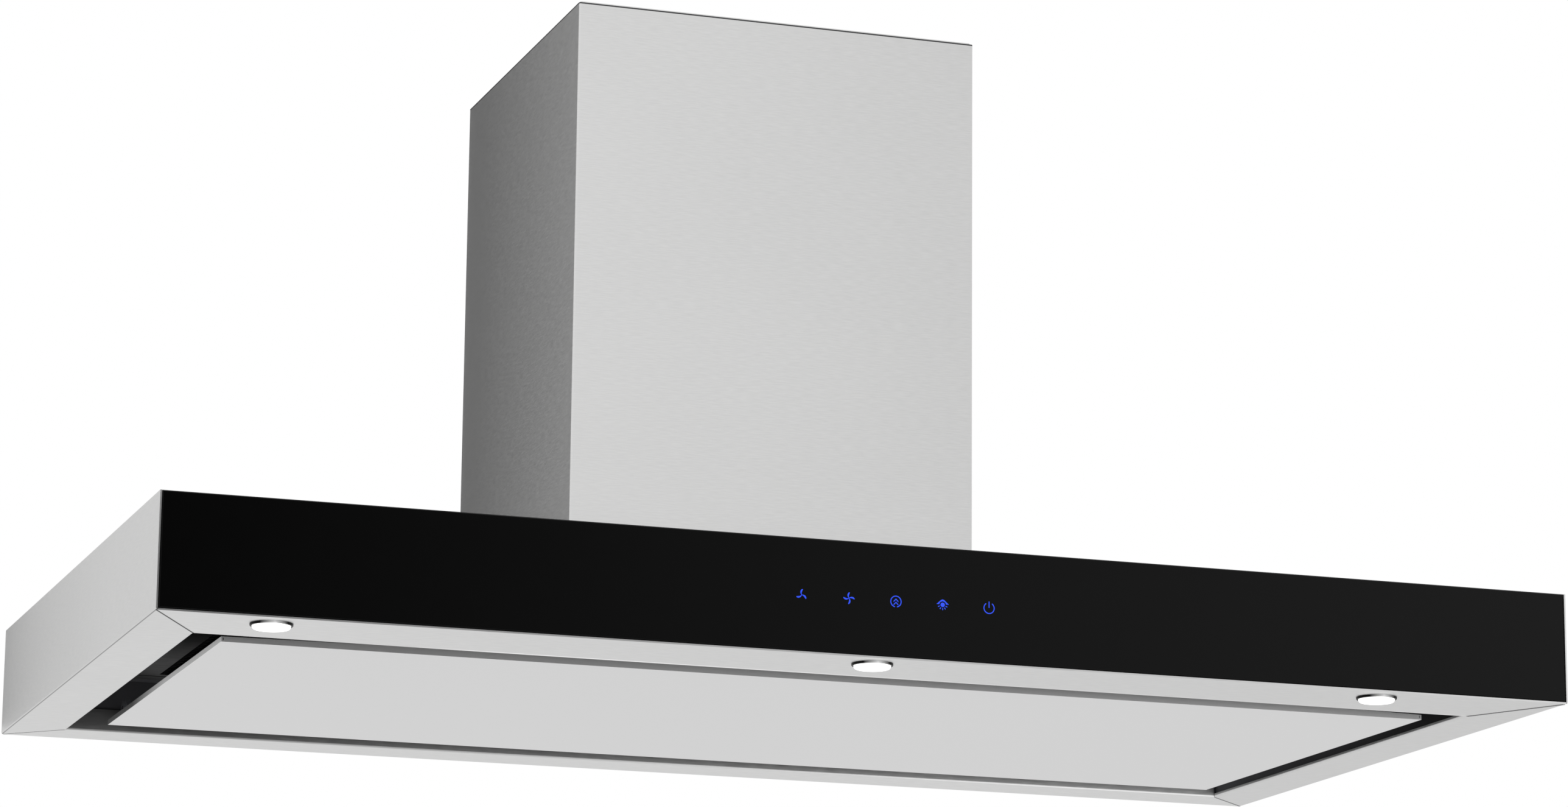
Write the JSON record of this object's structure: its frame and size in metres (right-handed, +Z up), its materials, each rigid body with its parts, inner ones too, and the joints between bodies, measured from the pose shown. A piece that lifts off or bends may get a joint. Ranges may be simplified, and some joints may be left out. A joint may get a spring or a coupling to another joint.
{
  "type": "range hood",
  "caption": "Wall-hung box range hood with black glass front, touch keys, lamps, drop-down suction panel, grease filters, blower and telescopic chimney.",
  "frame": {"origin": "on the wall, under the middle of the canopy's lower back edge", "axes": "+X to the right along the canopy, +Y into the wall, +Z up"},
  "size_m": [0.9, 0.504, 0.4682],
  "materials": {
    "brushed_steel": "fine brushed",
    "panel_steel": "fine satin",
    "galvanised_steel": "galvanised",
    "tray_paint": "satin black",
    "black_glass": "gloss, painted black behind",
    "foam_tape": "matt",
    "black_plastic": "fine grain",
    "grey_plastic": "fine grain",
    "circuit_board": "green lacquer",
    "light_guide": "clear",
    "lamp_lens": "opal, lit from behind",
    "bright_steel": "bright plated",
    "aluminium": "mill finish"
  },
  "bodies": {
    "hood": {"left_side": "brushed_steel", "right_side": "brushed_steel", "front_rim": "brushed_steel", "back_panel": "brushed_steel", "canopy_top": "brushed_steel", "glass_carrier": "galvanised_steel", "glass_tapes": "foam_tape", "glass_front": "black_glass", "control_housing": "black_plastic", "touch_board": "circuit_board", "key_light_guides": "light_guide", "lamp_bezel_left": "bright_steel", "lamp_bezel_middle": "bright_steel", "lamp_bezel_right": "bright_steel", "lamp_lens_left": "lamp_lens", "lamp_lens_middle": "lamp_lens", "lamp_lens_right": "lamp_lens", "lamp_sink_left": "aluminium", "lamp_sink_middle": "aluminium", "lamp_sink_right": "aluminium", "filter_tray": "tray_paint", "filter_frame_left": "aluminium", "filter_frame_middle": "aluminium", "filter_frame_right": "aluminium", "filter_mesh_left": "aluminium", "filter_mesh_middle": "aluminium", "filter_mesh_right": "aluminium", "hinge_hooks": "black_plastic", "panel_catches": "black_plastic", "blower_frame": "galvanised_steel", "frame_cover": "galvanised_steel", "scroll_left": "black_plastic", "scroll_right": "black_plastic", "motor": "galvanised_steel", "motor_spider": "galvanised_steel", "motor_screws": "bright_steel", "capacitor": "grey_plastic", "module_case": "grey_plastic", "module_board": "circuit_board", "cable_gland": "black_plastic", "outlet_collar": "grey_plastic", "flap_rod": "bright_steel", "lower_chimney": "brushed_steel", "cover_angles": "galvanised_steel", "base_screws": "bright_steel"},
    "panel": {"suction_panel": "panel_steel", "panel_stiffener": "galvanised_steel", "hinge_arms": "galvanised_steel", "hinge_pins": "bright_steel", "panel_strikers": "galvanised_steel"},
    "latch_left": {"filter_latch_left": "black_plastic"},
    "latch_middle": {"filter_latch_middle": "black_plastic"},
    "latch_right": {"filter_latch_right": "black_plastic"},
    "impeller": {"impeller": "grey_plastic", "motor_shaft": "bright_steel"},
    "flap_front": {"flap_front": "grey_plastic"},
    "flap_back": {"flap_back": "grey_plastic"},
    "upper_cover": {"upper_chimney": "brushed_steel", "ceiling_bracket": "galvanised_steel", "bracket_rivets": "bright_steel"}
  },
  "joints": [
    {"name": "panel_hinge", "type": "hinge", "parent": "hood", "child": "panel", "pos_m": [0, -0.062, 0.012], "axis": [1, 0, 0], "range_deg": [0, 85]},
    {"name": "latch_slide_left", "type": "slide", "parent": "hood", "child": "latch_left", "axis": [0, 1, 0], "range_m": [0, 0.006], "stiffness_N_per_m": 300, "springref_m": -0.001},
    {"name": "latch_slide_middle", "type": "slide", "parent": "hood", "child": "latch_middle", "axis": [0, 1, 0], "range_m": [0, 0.006], "stiffness_N_per_m": 300, "springref_m": -0.001},
    {"name": "latch_slide_right", "type": "slide", "parent": "hood", "child": "latch_right", "axis": [0, 1, 0], "range_m": [0, 0.006], "stiffness_N_per_m": 300, "springref_m": -0.001},
    {"name": "impeller_spin", "type": "hinge", "parent": "hood", "child": "impeller", "pos_m": [0, -0.098, 0.182], "axis": [1, 0, 0], "continuous": true},
    {"name": "flap_front_swing", "type": "hinge", "parent": "hood", "child": "flap_front", "pos_m": [0, -0.136, 0.34], "axis": [-1, 0, 0], "range_deg": [0, 75]},
    {"name": "flap_back_swing", "type": "hinge", "parent": "hood", "child": "flap_back", "pos_m": [0, -0.136, 0.34], "axis": [1, 0, 0], "range_deg": [0, 75]},
    {"name": "chimney_slide", "type": "slide", "parent": "hood", "child": "upper_cover", "axis": [0, 0, 1], "range_m": [0, 0.3]}
  ]
}
